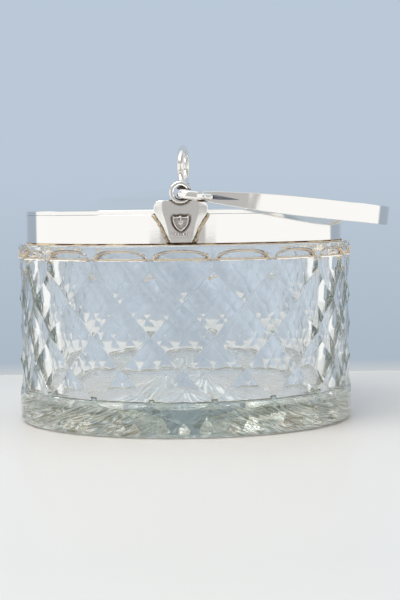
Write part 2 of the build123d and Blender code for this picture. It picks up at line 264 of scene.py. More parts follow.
# %% Paint of the board
shade_height = 0.12
foot_grey, foot_low, foot_high = (0.58, 0.61, 0.62, 1), -1 * mm, 7 * mm
dim_start, dim_end, dimmest, dim_height, dim_top = 0.12, 0.2, 0.78, 0.13, 0.2
smear_scale, smear_contrast, darkest_smear, brightest_smear = 16.0, (0.3, 0.7), 0.8, 1.22
painted = mix_paint(fade(axes["Z"], 0.0, shade_height), board_shade, board_blue)
blurred = mix_paint(fade(axes["Z"], foot_low, foot_high), foot_grey, painted)
dim = fade(axes["Z"], dim_height, dim_top, dimmest, 1.0)
falloff = fade(side, dim_start, dim_end, 1.0, dim)
smears = cloudy(place["Position"], smear_scale, 3.0)
spread = fade(smears, *smear_contrast, darkest_smear, brightest_smear)
patchy = between(paths["Is Transmission Ray"], 1.0, spread)
strength = between(not_camera, 1.0, maths("MULTIPLY", falloff, patchy))
weighed = add_after("VectorMath", {0: blurred, "Scale": strength}, operation="SCALE")[0]
board_colour = mix_paint(white_share, weighed, room_white)
clear = add_node(tree, "BsdfTransparent").outputs[0]
finish_with(mix_light(place["Backfacing"], glow_of(tree, board_colour), clear))
board_corner, board_rise = (-room_size, board_distance, foot_low), (0, 0, room_size - foot_low)
stage_plane("blue_board", board_corner, (2 * room_size, 0, 0), board_rise, board_material)
print("board stands", board_distance, "m behind the middle")

# %% [markdown]
# ### The floor
# The floor is white paper with a faint warm cloud. The lid's edge mirrors a grey wedge of it, and the thick
# base passes on light that is caught under it. Only mirror rays and rays through the glass meet these
# glows, so the floor itself stays plain and keeps its shadow.

# %% Paper of the floor
paper_cool, paper_warm = (0.97, 0.92, 0.86, 1), (1.0, 0.97, 0.92, 1)
paper_far, far_start, far_end, cloud_scale = (0.85, 0.83, 0.79, 1), 0.1, 0.32, 9.0
floor_material, tree = new_material("white_floor")
place = add_node(tree, "NewGeometry").outputs
paths = add_node(tree, "LightPath").outputs
axes = split(place["Position"])
reach = add_after("VectorMath", {0: place["Position"]}, operation="LENGTH")["Value"]
cloud = add_node(tree, "TexNoise", {"Scale": cloud_scale, "Detail": 4.0}).outputs["Fac"]
near_paper = mix_paint(cloud, paper_cool, paper_warm)
# Away from the middle the paper is painted darker: a painted fall-off of the light.
sheet = {
    "Base Color": mix_paint(fade(reach, far_start, far_end), near_paper, paper_far),
    "Roughness": 0.35,
    "Specular IOR Level": 0.4,
}
paper = add_node(tree, "BsdfPrincipled", sheet).outputs[0]
print("paper darkens from", far_start, "to", far_end, "m")

# %% What mirrors and glass see of the floor
wedge_start, wedge_end = radians(20), radians(21.5)
mirror_start, mirror_end = 0.25, 0.3
under_start, under_end, under_share = 0.072, 0.055, 0.35
under_light = (0.95, 0.91, 0.85, 1)
floor_level = -0.3 * mm
turned = maths("ABSOLUTE", bearing_of(axes))
mirrored = mix_paint(fade(turned, wedge_start, wedge_end), front_grey, room_white)
in_mirror = overlap(fade(reach, mirror_start, mirror_end), paths["Is Glossy Ray"])
seen_in_metal = mix_light(in_mirror, paper, glow_of(tree, mirrored))
caught = fade(reach, under_start, under_end, 0.0, under_share)
through_glass = overlap(caught, paths["Is Transmission Ray"])
finish_with(mix_light(through_glass, seen_in_metal, glow_of(tree, under_light)))
floor_corner = (-room_size, -room_size, floor_level)
stage_plane("white_floor", floor_corner, (2 * room_size, 0, 0), (0, 2 * room_size, 0), floor_material)

# %% [markdown]
# ## Light
# A white sky lights everything evenly, and grey walls give the metal soft darker bands. The camera's own
# corner of the room is dark: the metal mirrors a small dark patch and a grey wedge below it. A picture of a
# real room would do too, but here each grey can be moved alone. A camera ray that meets the sky sees the
# board's blue. One large window adds the soft shadow.

# %% Dark patch and grey wedge in front
world = bpy.data.worlds.new("white_room")
bpy.context.scene.world = world
world.use_nodes = True
tree = world.node_tree
tree.nodes.clear()
direction = add_node(tree, "TexCoord").outputs["Generated"]
paths = add_node(tree, "LightPath").outputs
rise = split(direction)["Z"]
facing = add_after("VectorMath", {0: direction, 1: (0, -1, 0)}, operation="DOT_PRODUCT")["Value"]
room_dark = (0.28, 0.31, 0.35, 1)
patch_angles, wedge_angles, middle_angles = (9, 6), (24, 22.5), (16.5, 15)
patch_foot, wedge_rise, wedge_foot = (0.015, 0.03), (0.1, 0.06), (-0.019, -0.022)


def in_cone(outer, inner):
    """A mask round the direction to the camera, from its outer to its inner angle in degrees."""
    return fade(facing, cos(radians(outer)), cos(radians(inner)))


patch_share = overlap(in_cone(*patch_angles), fade(rise, *patch_foot))
near_level = fade(maths("ABSOLUTE", rise), *wedge_rise)
wedge_shape = maths("MAXIMUM", in_cone(*middle_angles), fade(rise, *wedge_foot))
wedge_share = overlap(in_cone(*wedge_angles), near_level, wedge_shape)
print("the grey wedge is", 2 * wedge_angles[1], "degrees wide")

# %% Walls and sky
wall_stops = ((0.16, 1.0), (0.27, 0.5), (0.72, 0.5), (0.86, 1.0))
walls = add_node(tree, "ValToRGB", {"Fac": rise})
for position, grey in wall_stops:
    stop = walls.color_ramp.elements.new(position)
    stop.color = (grey, grey, 0.99 * grey, 1)
walls.color_ramp.elements[0].color = room_white
walls.color_ramp.elements[-1].color = room_white
front = mix_paint(wedge_share, walls.outputs["Color"], front_grey)
room = mix_paint(patch_share, front, room_dark)
seen = mix_paint(paths["Is Camera Ray"], room, board_blue)
sky = add_node(tree, "Background", {"Color": seen, "Strength": 1.0})
add_node(tree, "OutputWorld", {"Surface": sky.outputs[0]})
print("wall greys by height", wall_stops)

# %% Window
window_width, window_height, window_power = 1.6, 1.0, 15.5
window_place, window_aim = (-0.7, -0.9, 1.3), Vector((0, 0, 0.05))
lamp_data = bpy.data.lights.new("window", "AREA")
lamp_data.shape = "RECTANGLE"
lamp_data.size = window_width
lamp_data.size_y = window_height
lamp_data.energy = window_power
lamp = new_object("window", lamp_data)
lamp.location = window_place
lamp.rotation_euler = (window_aim - lamp.location).to_track_quat("-Z", "Y").to_euler()
lamp.visible_camera = False
print("window energy", lamp_data.energy)

# %% [markdown]
# ## Effects that several finishes share
# Silver plate is never a perfect mirror: polishing leaves fine hairlines, and the cloth never gets into the
# corners, where the silver turns brown. The same darkening is also painted shade in those corners. Both
# effects are node groups, made once and placed in each metal with its own values. Painted pictures would
# do too, but a worked-out pattern stays sharp at any distance.


# %% Shared effects
def new_group(name, inputs, outputs):
    """A shader node group with named sockets. Returns the group and its input and output nodes."""
    group = bpy.data.node_groups.new(name, "ShaderNodeTree")
    for label, (kind, value) in inputs.items():
        socket = group.interface.new_socket(label, in_out="INPUT", socket_type=kind)
        socket.default_value = value
    for label, kind in outputs.items():
        group.interface.new_socket(label, in_out="OUTPUT", socket_type=kind)
    return group, group.nodes.new("NodeGroupInput"), group.nodes.new("NodeGroupOutput")


number, colour = "NodeSocketFloat", "NodeSocketColor"
print("kinds of socket:", number, colour)

# %% Polish marks: hairlines along the cloth's way, more of them in some patches
drawn_out, patch_scale, rubbed_least, rubbed_most = (1.0, 1.0, 9.0), 60.0, 0.12, 0.45
polish, enter, leave = new_group(
    "polish_marks",
    {"Smooth": (number, 0.05), "Worn": (number, 0.16), "Scale": (number, 300.0)},
    {"Roughness": number, "Height": number},
)
place = on_object(polish)
hairlines = cloudy(stretch(place, drawn_out), enter.outputs["Scale"], 3.0)
rubbed = maths("MULTIPLY", hairlines, cloudy(place, patch_scale, 4.0))
rough = fade(rubbed, rubbed_least, rubbed_most, enter.outputs["Smooth"], enter.outputs["Worn"])
polish.links.new(rough, leave.inputs["Roughness"])
polish.links.new(hairlines, leave.inputs["Height"])
print("group", polish.name)

# %% Corner tarnish and painted shade: brown where the surface is closed in
blotch_scale, tarnish_shade_start, tarnish_shade_full = 900.0, 0.06, 0.42
tarnish_and_shade, enter, leave = new_group(
    "corner_tarnish_and_shade",
    {
        "Clean": (colour, (0.93, 0.92, 0.9, 1)),
        "Stain and shade": (colour, (0.2, 0.13, 0.07, 1)),
        "Reach": (number, 1.0 * mm),
        "Amount": (number, 1.0),
    },
    {"Color": colour, "Mask": number},
)
# Closed-in spots found by ambient occlusion get the stain colour: tarnish and painted shade together.
open_air = add_after("AmbientOcclusion", {"Distance": enter.outputs["Reach"]}, samples=8)["AO"]
closed = maths("SUBTRACT", 1.0, open_air)
blotch = cloudy(on_object(tarnish_and_shade), blotch_scale, 5.0)
scaled = overlap(closed, blotch, enter.outputs["Amount"])
mask = fade(scaled, tarnish_shade_start, tarnish_shade_full)
mixed = mix_paint(mask, enter.outputs["Clean"], enter.outputs["Stain and shade"])
tarnish_and_shade.links.new(mixed, leave.inputs["Color"])
tarnish_and_shade.links.new(mask, leave.inputs["Mask"])
print("groups:", [group.name for group in bpy.data.node_groups])

# %% [markdown]
# ## Metal finishes
# The collar, lid and handle are polished sheet. The lugs are cast, so their skin waves, and dirt and painted
# shade sit round the relief. A brown film has crept over the finial's mount, and its hollows carry painted
# shade as well as tarnish. The pads behind the lugs are browned solder. The thin tail where each hook closes
# on the strip is painted dark, as painted shade. All are one recipe with other numbers, so one function
# makes them.


# %% Recipe of a plated metal
hairline_strength, hairline_depth, stain_roughness = 0.3, 0.004 * mm, 0.55


def metal(name, clean, stain_and_shade, smooth, worn, reach, amount, wave_scale, wave_depth):
    """A mirror base, hairlines in its roughness, tarnish and painted shade in its corners, and slow waves in
    its skin.
    """
    material, tree = new_material(name)
    marks = add_node(tree, "Group", {"Smooth": smooth, "Worn": worn}, node_tree=polish)
    corner_values = {"Clean": clean, "Stain and shade": stain_and_shade, "Reach": reach, "Amount": amount}
    corners = add_node(tree, "Group", corner_values, node_tree=tarnish_and_shade)
    waves = cloudy(on_object(tree), wave_scale, 1.0)
    skin = bump(waves, 1.0, wave_depth)
    sockets = {
        "Base Color": corners.outputs["Color"],
        "Metallic": 1.0,
        "Roughness": between(corners.outputs["Mask"], marks.outputs["Roughness"], stain_roughness),
        "Normal": bump(marks.outputs["Height"], hairline_strength, hairline_depth, skin),
    }
    finish_solid(sockets)
    return material


print("hairlines are", round(hairline_depth / mm, 4), "mm deep")

# %% The six metals
silver_plate = metal(
    "silver_plate", clean=(0.95, 0.94, 0.92, 1), stain_and_shade=(0.25, 0.17, 0.1, 1), smooth=0.03, worn=0.1,
    reach=1.0 * mm, amount=0.4, wave_scale=20.0, wave_depth=0.01 * mm,
)
# The lugs' strong corner darkening is tarnish and also painted shade round the shield and under each eye.
cast_silver = metal(
    "cast_silver", clean=(0.90, 0.89, 0.87, 1), stain_and_shade=(0.10, 0.065, 0.04, 1), smooth=0.06, worn=0.16,
    reach=1.4 * mm, amount=12.0, wave_scale=250.0, wave_depth=0.02 * mm,
)
solder = metal(
    "tarnished_solder", clean=(0.62, 0.52, 0.38, 1), stain_and_shade=(0.05, 0.035, 0.025, 1), smooth=0.3, worn=0.5,
    reach=1.5 * mm, amount=2.5, wave_scale=700.0, wave_depth=0.12 * mm,
)
# The finial's hollows and the ring's foot darken brown: tarnish and painted shade together.
finial_silver = metal(
    "finial_silver", clean=(0.93, 0.90, 0.86, 1), stain_and_shade=(0.12, 0.08, 0.05, 1), smooth=0.06, worn=0.16,
    reach=3.0 * mm, amount=4.0, wave_scale=250.0, wave_depth=0.03 * mm,
)
# The hook's tail is painted dark: painted shade along its taper on the strip.
tail_shade = metal(
    "dark_tail_shade", clean=(0.17, 0.18, 0.21, 1), stain_and_shade=(0.03, 0.03, 0.03, 1), smooth=0.2, worn=0.4,
    reach=1.0 * mm, amount=2.0, wave_scale=500.0, wave_depth=0.02 * mm,
)
brass = metal(
    "brass", clean=(0.78, 0.6, 0.3, 1), stain_and_shade=(0.22, 0.14, 0.06, 1), smooth=0.18, worn=0.35,
    reach=0.8 * mm, amount=1.0, wave_scale=500.0, wave_depth=0.01 * mm,
)
print("materials:", [material.name for material in bpy.data.materials])

# %% [markdown]
# ## Sizes of the bowl
# The bowl is 160 mm across, with a plain base band, a lattice of lens cuts, arched thumb cuts and a neck
# under the collar. Plaster and glass are coloured by height and by distance from the axis, so they use the
# mesh's own sizes, and these come first.

# %% Sizes of the glass, in millimetres
glass_radius, shoulder_height, neck_radius, mouth_radius = 80.0, 84.6, 74.5, 70.0
neck_top, floor_radius, floor_height = 93.6, 67.2, 14.2
foot_round, shoulder_round, neck_round, floor_round = 3.0, 1.0, 1.0, 1.5
bedding_radius = 76.4
column_angle, cut_depth, ledge_height = radians(20), 2.2, 2.7
lattice_foot, lattice_head, lattice_steps, top_share = 15.2, 77.87, 4, 4 / 13
lens_half_height = (lattice_head - lattice_foot) / (lattice_steps + top_share)
thumb_height, thumb_half_angle, thumb_depth, thumb_edge = 4.5, radians(9.2), 1.5, 0.9
thumb_squareness, thumb_foot = 2.5, 0.6
cells = 13
columns = 36 * cells
print("lens half height", round(lens_half_height, 3), "columns", columns)

# %% [markdown]
# ## Plaster
# The collar isn't soldered or screwed to the glass: it is bedded in plaster. A thin line of it shows under
# the collar, in brown patches from old polish and cream ones where it was cleaned, and behind the glass it
# is tan. One material has all three, told apart by how far out and how high a spot lies.

# %% Plaster
plaster_tan, patch_scale, patch_roughness = (0.78, 0.64, 0.47, 1), 60.0, 0.65
brown_patch, cream_patch = (0.46, (0.07, 0.03, 0.015, 1)), (0.60, (0.74, 0.62, 0.42, 1))
grain_scale, grain_strength, grain_depth = 1400.0, 0.8, 0.2 * mm
edge_depth, glass_gap = (-1.2, -0.6), (0.02, 0.15)
plaster, tree = new_material("bedding_plaster")
place = on_object(tree)
patches = add_node(tree, "ValToRGB", {"Fac": cloudy(place, patch_scale, 8.0, patch_roughness)})
for stop, patch in zip(patches.color_ramp.elements, (brown_patch, cream_patch)):
    stop.position, stop.color = patch
at_edge = fade_near(distance_from_axis(place), bedding_radius, *edge_depth)
off_glass = fade_near(split(place)["Z"], shoulder_height, *glass_gap)
sockets = {
    "Base Color": mix_paint(overlap(at_edge, off_glass), plaster_tan, patches.outputs["Color"]),
    "Roughness": 0.85,
    "Normal": bump(cloudy(place, grain_scale, 4.0), grain_strength, grain_depth),
}
finish_solid(sockets)
print("plaster", plaster.name)

# %% [markdown]
# ## Glass
# Pressed glass holds a trace of iron: it is clear in a thin wall and grey-green in depth. A coloured skin
# would tint both alike, so a volume shader gives the colour. The skin differs from place to place, so the
# material starts with masks that say where a spot is.

# %% Places on the glass
band_inner, band_outer = (glass_radius - 4.0) * mm, (glass_radius - 1.5) * mm
band_top, band_full = 14.5 * mm, 12.5 * mm
clear_middle, busy_sides = 6 * mm, 24 * mm
glass, tree = new_material("pressed_glass")
place = on_object(tree)
spot = split(place)
aside = maths("ABSOLUTE", spot["X"])
from_axis = distance_from_axis(place)
on_band = overlap(fade(from_axis, band_inner, band_outer), fade(spot["Z"], band_top, band_full))
to_the_sides = fade(aside, clear_middle, busy_sides)
print("the base band ends at", round(band_top / mm, 1), "mm")

# %% [markdown]
# ### Skin of the glass
# Fire-polished glass is bright but not quite even, and a slow bump does that on the walls. On the inner
# floor the skin runs in streaks away from the middle, where the plunger left the hot glass. Waves in the
# mesh would do the same with far more faces.

# %% Ripples and floor streaks
ripple_scale, streak_stretch = 120.0, (18.0, 20.0, 1.0)
floor_start, floor_full = (floor_height + 2.3) * mm, (floor_height + 0.1) * mm
star_level, floor_level_above, star_share, floor_share = 12.0 * mm, 13.5 * mm, 0.5, 1.4
ripple = cloudy(place, ripple_scale, 1.0)
bearing = bearing_of(spot)
polar = add_after("CombineXYZ", {"X": bearing, "Y": from_axis})[0]
streaks = cloudy(stretch(polar, streak_stretch), 1.0, 2.0)
above_star = fade(spot["Z"], star_level, floor_level_above, star_share, floor_share)
on_floor = fade(spot["Z"], floor_start, floor_full)
skin_height = between(on_floor, ripple, maths("MULTIPLY", streaks, above_star))
print("floor streaks begin below", round(floor_start / mm, 1), "mm")

# %% [markdown]
# ### Streaks in the base band
# The thick band bends the star and the room into slanted dark and bright streaks, densest at the sides.
# A strong bump only fogs the glass. So a slanted cloud gives a gentle one, and its contour lines, drawn
# with Ping Pong, become crisp threads: dark ones of painted shade in the tint, light ones of painted glints
# in a faint glow.

# %% Base band
band_slant, flow_stretch, flow_twist, flow_depth = 2.3, (150.0, 60.0, 30.0), 0.8, 0.6
contour_count, contour_fold, thread_shade_least, middle_thread_shade, band_glint = 9.0, 0.5, 0.38, 0.36, 0.14
skin_depth, no_tint, thread_shade_tint = 0.22 * mm, (1.0, 1.0, 1.0, 1), (0.19, 0.165, 0.085, 1)
dark_threads, bright_threads = (0.26, 0.08), (0.38, 0.44)
slant = maths("MULTIPLY_ADD", spot["Z"], band_slant, aside)
leaning = add_after("CombineXYZ", {"X": slant, "Y": spot["Z"], "Z": spot["X"]})[0]
flow = cloudy(stretch(leaning, flow_stretch), 1.0, 1.0, distortion=flow_twist)
deep_flow = overlap(flow, to_the_sides, flow_depth)
fire_polish = bump(between(on_band, skin_height, deep_flow), 1.0, skin_depth)
contours = maths("MULTIPLY", flow, contour_count)
threads = maths("PINGPONG", contours, contour_fold)
# Dark threads are painted shade in the band's tint; light threads are painted glints in its glow.
thread_shade = fade(threads, *dark_threads, thread_shade_least, 1.0)
band_thread_shade = overlap(between(to_the_sides, middle_thread_shade, thread_shade), on_band)
band_tint = mix_paint(band_thread_shade, no_tint, thread_shade_tint)
side_light = maths("MULTIPLY", to_the_sides, band_glint)
band_light = fade(threads, *bright_threads, 0.0, side_light)
print("band contours", contour_count)

# %% [markdown]
# ### Fan of streaks on the inner floor
# Through the front wall the star's rays look like a fan that opens towards the eye. Each streak runs away
# from one point at the back of the floor, so the pattern is drawn against the angle seen from there. The
# fan is painted in: painted shade for its dark streaks, painted glints for its light ones, and the flat
# inner floor glows faintly as painted light.

# %% Floor fan
fan_root, fan_stretch = 60 * mm, (38.0, 16.0, 1.0)
fan_none, fan_full, fan_back, fan_front = 0.42, 0.24, 45 * mm, 20 * mm
floor_flatness, floor_glow, fan_glow = 0.2 * mm, 0.06, 0.30
fan_tint, fan_dark, fan_bright = (0.62, 0.62, 0.58, 1), (0.46, 0.40), (0.55, 0.62)
fan_reach = maths("SUBTRACT", fan_root, spot["Y"])
fan_turn = maths("DIVIDE", spot["X"], fan_reach)
fan_place = add_after("CombineXYZ", {"X": fan_turn, "Y": spot["Y"]})[0]
fan = cloudy(stretch(fan_place, fan_stretch), 1.0, 2.0, roughness=0.6)
flat_floor = maths("COMPARE", spot["Z"], floor_height * mm, floor_flatness)
in_fan = fade(maths("ABSOLUTE", fan_turn), fan_none, fan_full)
fan_mask = overlap(in_fan, fade(spot["Y"], fan_back, fan_front), flat_floor)
fan_shade = overlap(fade(fan, *fan_dark), fan_mask)
fan_glint = overlap(fade(fan, *fan_bright, 0.0, fan_glow), fan_mask)
floor_glint = maths("MULTIPLY_ADD", flat_floor, floor_glow, fan_glint)
glint = maths("MULTIPLY_ADD", band_light, on_band, floor_glint)
floor_tint = mix_paint(fan_shade, band_tint, fan_tint)
print("the fan opens from", round(fan_root / mm), "mm behind the middle")

# %% [markdown]
# ### Tan bevels
# The sloping edges of the thumb cuts throw the plaster's tan back, so each arch has a tan outline. A ray
# would need many bounces to find that colour. A mask picks the slopes instead, by distance and height,
# and paints the tan there as a painted reflection: a tan glow over a darker tint.

# %% Bevels of the thumb cuts
cut_floor, cut_head = glass_radius - thumb_depth, lattice_head + thumb_height
bevel_glow, bevel_shade, bevel_tan = 0.38, (0.22, 0.19, 0.14, 1), (0.70, 0.56, 0.40, 1)
slope_floor, slope_skin, slope_foot = (0.1, 0.25), (-0.02, -0.1), (0.78, 0.68)
foot_line, head_line = (-0.02, 0.05), (0.23, 0.08)
on_slope = fade_near(from_axis, cut_floor, *slope_floor)
at_cut_foot = fade_near(spot["Z"], lattice_head, *slope_foot)
on_bevel = overlap(
    maths("MAXIMUM", on_slope, at_cut_foot),
    fade_near(from_axis, glass_radius, *slope_skin),
    fade_near(spot["Z"], lattice_head, *foot_line),
    fade_near(spot["Z"], cut_head, *head_line),
)
glow = maths("MULTIPLY_ADD", on_bevel, bevel_glow, glint)
glass_tint = mix_paint(on_bevel, floor_tint, bevel_shade)
glow_tint = mix_paint(on_bevel, no_tint, bevel_tan)
print("tan bevels reach up to", round(cut_head, 2), "mm")

# %% [markdown]
# ### The glass itself
# One shader takes the skin, the tint and the glow. Handling has dulled the ridges of the cuts. The mesh
# marks them in an attribute called worn, which raises the roughness there.

# %% Glass
glass_bend, worn_from, ridge_roughness = 1.52, 0.2, 0.45
deep_colour, deep_density = (0.77, 0.84, 0.80, 1), 10.0
worn_mark = add_node(tree, "Attribute", attribute_name="worn").outputs["Fac"]
sockets = {
    "Base Color": glass_tint,
    "Emission Color": glow_tint,
    "Emission Strength": glow,
    "Roughness": fade(worn_mark, worn_from, 1.0, 0.0, ridge_roughness),
    "IOR": glass_bend,
    "Transmission Weight": 1.0,
    "Normal": fire_polish,
}
output = finish_solid(sockets)
depth = add_node(tree, "VolumeAbsorption", {"Color": deep_colour, "Density": deep_density})
tree.links.new(depth.outputs[0], output.inputs["Volume"])
print("glass", glass.name)

# %% [markdown]
# ### Glass that touches plaster, and a line of painted shade
# Where plaster sticks to the glass there is no air between them, so that skin is a blotchy tan and doesn't
# shine; it also glows in its own colour, as painted light. The front half of the inner corner holds a thin
# dark line of painted shade, where that side of the corner lies in shade. A tint would vanish in the glare
# of the corner, so both are opaque skins.

# %% Skins on the glass
skins = {}
for name, dark, pale, scale, sockets in (
    ("glass_on_plaster", (0.42, 0.30, 0.20, 1), (0.72, 0.60, 0.47, 1), 300.0, {"Roughness": 0.9}),
    ("corner_shade_line", (0.10, 0.095, 0.07, 1), (0.34, 0.32, 0.25, 1), 160.0, {"Roughness": 0.8}),
):
    skins[name], tree = new_material(name)
    sockets["Base Color"] = mix_paint(cloudy(on_object(tree), scale, 4.0), dark, pale)
    # The plaster skin also glows at strength 1 in its own colour: painted light.
    if name == "glass_on_plaster":
        sockets |= {"Emission Color": sockets["Base Color"], "Emission Strength": 1.0}
    finish_solid(sockets)
bedded_glass, shade_line = skins.values()
print("skins", list(skins))

# %% [markdown]
# ## The bowl
# The pattern is a lattice of shallow lens cuts. Each cut is an arc laid along a chord of the bowl, and
# where four meet they leave a crisp diamond of ridges. The skin is a grid with a whole number of cells to
# each cut, so the ridges fall on the cells' diagonals. One diamond, repeated, would leave seams to weld.


# %% Even and eased steps
def shares(steps, first=0):
    """Even shares of the way from 0 to 1."""
    return [step / steps for step in range(first, steps + 1)]


def ease(share):
    """Goes from 0 to 1 with a soft start and a soft end."""
    return share * share * (3 - 2 * share)


print("eased quarters", [ease(share) for share in shares(4)])


# %% Lens cuts
def off_centre(angle, shift):
    """Angle from the middle of the nearest cut in a row that is shifted by that angle."""
    return (angle - shift + column_angle / 2) % column_angle - column_angle / 2


def lattice_radius(angle, height):
    """Radius of the lattice. Where two dished cuts meet they leave a straight ridge."""
    radius = glass_radius
    for step in range(lattice_steps + 1):
        across = 2 * off_centre(angle, column_angle / 2 * (step % 2)) / column_angle
        up = (height - lattice_foot) / lens_half_height - step
        lift = (lattice_foot - height) / ledge_height if step == 0 and up < 0 else up**2
        radius = min(radius, glass_radius - cut_depth * (1 - across**2 - lift))
    return radius


def lattice_low(angle):
    """Height at which the lowest cuts begin."""
    return lattice_foot - ledge_height * (1 - (2 * off_centre(angle, 0) / column_angle) ** 2)


print("radius in the middle of a cut", round(lattice_radius(0, lattice_foot), 2), "mm")


# %% Thumb cuts
def thumb_top(angle):
    """Height of the arched thumb panel above the lattice, 0 between two of them."""
    across = abs(off_centre(angle, 0) / thumb_half_angle)
    return thumb_height * (1 - across**thumb_squareness) ** (1 / thumb_squareness) if across < 1 else 0.0


def thumb_radius(angle, rise):
    """Radius of the thumb panel: even in its middle, and rounded up to the skin along its arch."""
    across, up = abs(off_centre(angle, 0)) / thumb_half_angle, rise / thumb_height
    out = (across**thumb_squareness + up**thumb_squareness) ** (1 / thumb_squareness)
    if out >= 1 or rise == 0:
        return glass_radius
    power = thumb_squareness - 1
    sideways = (across / out) ** power / (thumb_half_angle * glass_radius)
    steepness = hypot(sideways, (up / out) ** power / thumb_height)
    inside = min(1.0, (1 - out) / steepness / thumb_edge, rise / thumb_foot)
    return glass_radius - thumb_depth * ease(inside)


print("radius in the middle of a thumb cut", round(thumb_radius(0, thumb_height / 2), 2), "mm")


# %% Section of the bowl
def arc(centre, radius, start, end, steps):
    """Points of an arc in the (radius, height) plane, angles in degrees."""
    turns = [radians(start + (end - start) * share) for share in shares(steps)]
    return [(centre[0] + radius * cos(turn), centre[1] + radius * sin(turn)) for turn in turns]


foot_rows, ledge_rows, arch_rows, upper_rows, wall_steps = 2, 4, 18, 3, 8
foot_steps, shoulder_steps, rim_steps, floor_steps = 8, 6, 5, 10
lattice_rows = round((lattice_steps + top_share) * cells)
floor_shares = (0.8, 0.6, 0.4, 0.2, 0.05)
foot_arc = arc((glass_radius - foot_round, foot_round), foot_round, -90, 0, foot_steps)
shoulder_centre = (glass_radius - shoulder_round, shoulder_height - shoulder_round)
shoulder_arc = arc(shoulder_centre, shoulder_round, 0, 90, shoulder_steps)
rest = [(bedding_radius, shoulder_height), (neck_radius, shoulder_height)]
rest += arc((neck_radius - neck_round, neck_top - neck_round), neck_round, 0, 90, rim_steps)
rest += arc((mouth_radius + neck_round, neck_top - neck_round), neck_round, 90, 180, rim_steps)
wall_foot = floor_radius + (mouth_radius - floor_radius) * floor_round / (neck_top - floor_height)
wall_fall = floor_height + floor_round - neck_top + neck_round
for share in shares(wall_steps, 1)[:-1]:
    wall = mouth_radius + (wall_foot - mouth_radius) * share
    rest.append((wall, neck_top - neck_round + wall_fall * share))
rest += arc((wall_foot - floor_round, floor_height + floor_round), floor_round, 0, -90, floor_steps)
rest += [(floor_radius * share, floor_height) for share in floor_shares]


def bowl_column(angle):
    """The section of the bowl at one angle, from the foot over the rim to the inner floor."""
    low, top = lattice_low(angle), thumb_top(angle)
    band = [foot_round + (low - foot_round) * share for share in shares(foot_rows, 1)]
    ledge = [low + (lattice_foot - low) * share for share in shares(ledge_rows, 1)]
    lattice = [lattice_foot + (lattice_head - lattice_foot) * share for share in shares(lattice_rows, 1)]
    arch = [top * ease(share) for share in shares(arch_rows)]
    straight = shoulder_height - shoulder_round - lattice_head - top
    upper = [lattice_head + top + straight * share for share in shares(upper_rows, 1)[:-1]]
    points = foot_arc + [(glass_radius, height) for height in band]
    points += [(lattice_radius(angle, height), height) for height in ledge + lattice]
    points += [(thumb_radius(angle, rise), lattice_head + rise) for rise in arch]
    return points + [(glass_radius, height) for height in upper] + shoulder_arc + rest


print("points in a column", len(bowl_column(0)))


# %% Skin of the bowl
def bowl_point(radius, height, angle):
    """A point in metres from sizes in millimetres. Angle 0 is the front, and it grows towards +X."""
    return Vector((radius * sin(angle), -radius * cos(angle), height)) * mm


first_lattice = len(foot_arc) + foot_rows
cut_rows = range(first_lattice - 1, first_lattice + ledge_rows + lattice_rows + arch_rows + 1)
first_ridge_row = first_lattice + ledge_rows - 1
bm = bmesh.new()
worn = bm.verts.layers.float.new("worn")
grid = []
for turn in [tau * column / columns for column in range(columns)]:
    grid.append([bm.verts.new(bowl_point(radius, height, turn)) for radius, height in bowl_column(turn)])
cut_vertices = {line[row] for line in grid for row in cut_rows}
for column in range(columns):
    left, right = grid[column], grid[(column + 1) % columns]
    for row in range(len(left) - 1):
        corners = [left[row], right[row], right[row + 1], left[row + 1]]
        if not first_ridge_row <= row < first_ridge_row + lattice_rows:
            bm.faces.new(corners)
            continue
        rises_right = (column // cells + (row - first_ridge_row) // cells) % 2
        for picked in ((0, 1, 2), (0, 2, 3)) if rises_right else ((0, 1, 3), (1, 2, 3)):
            bm.faces.new([corners[i] for i in picked])
floor_centre = bm.verts.new((0, 0, floor_height * mm))
for column in range(columns):
    bm.faces.new((grid[column][-1], grid[(column + 1) % columns][-1], floor_centre))
print("faces of the skin", len(bm.faces))

# %% [markdown]
# ### The star
# The underside carries a star of 36 V-shaped rays, long and short in turn, which throw the bright streaks
# in the base. Each is four flat faces that meet in its deepest point, and the flat glass between them is
# filled in one go from the outlines. Booleans would leave slivers.

# %% Star in the underside
rays, ray_inner, ray_sink, ray_width = 36, 5.0, 1.0, 0.94
long_ray, short_ray = (7.5, 52.0, 74.0), (5.0, 60.0, 70.0)
outline = [bm.edges.get((grid[i][0], grid[(i + 1) % columns][0])) for i in range(columns)]
for ray in range(rays):
    spin = Matrix.Rotation(tau * ray / rays, 3, "Z")
    depth, ray_deep, outer = short_ray if ray % 2 else long_ray
    sunk_share = ray_sink / (depth + ray_sink)
    half = ray_deep * sin(pi / rays) * ray_width * (1 - sunk_share)
    tips = (
        (ray_inner + (ray_deep - ray_inner) * sunk_share, 0, 0),
        (ray_deep, half, 0),
        (outer - (outer - ray_deep) * sunk_share, 0, 0),
        (ray_deep, -half, 0),
    )
    ring = [bm.verts.new(spin @ Vector(tip) * mm) for tip in tips]
    deepest = bm.verts.new(spin @ Vector((ray_deep, 0, depth)) * mm)
    for i in range(4):
        outline.append(bm.edges.new((ring[i], ring[(i + 1) % 4])))
        bm.faces.new((ring[(i + 1) % 4], ring[i], deepest))
flat = bmesh.ops.triangle_fill(bm, edges=outline, use_beauty=True, use_dissolve=False)
print("flat faces under the bowl", len([g for g in flat["geom"] if isinstance(g, bmesh.types.BMFace)]))

# %% [markdown]
# ### Ridges
# A pressed ridge is never knife-sharp, and the thin bright line along it makes the pattern sparkle. So each
# ridge gets a narrow bevel, whose middle is marked as worn. Edges that bend strongly stay crisp.

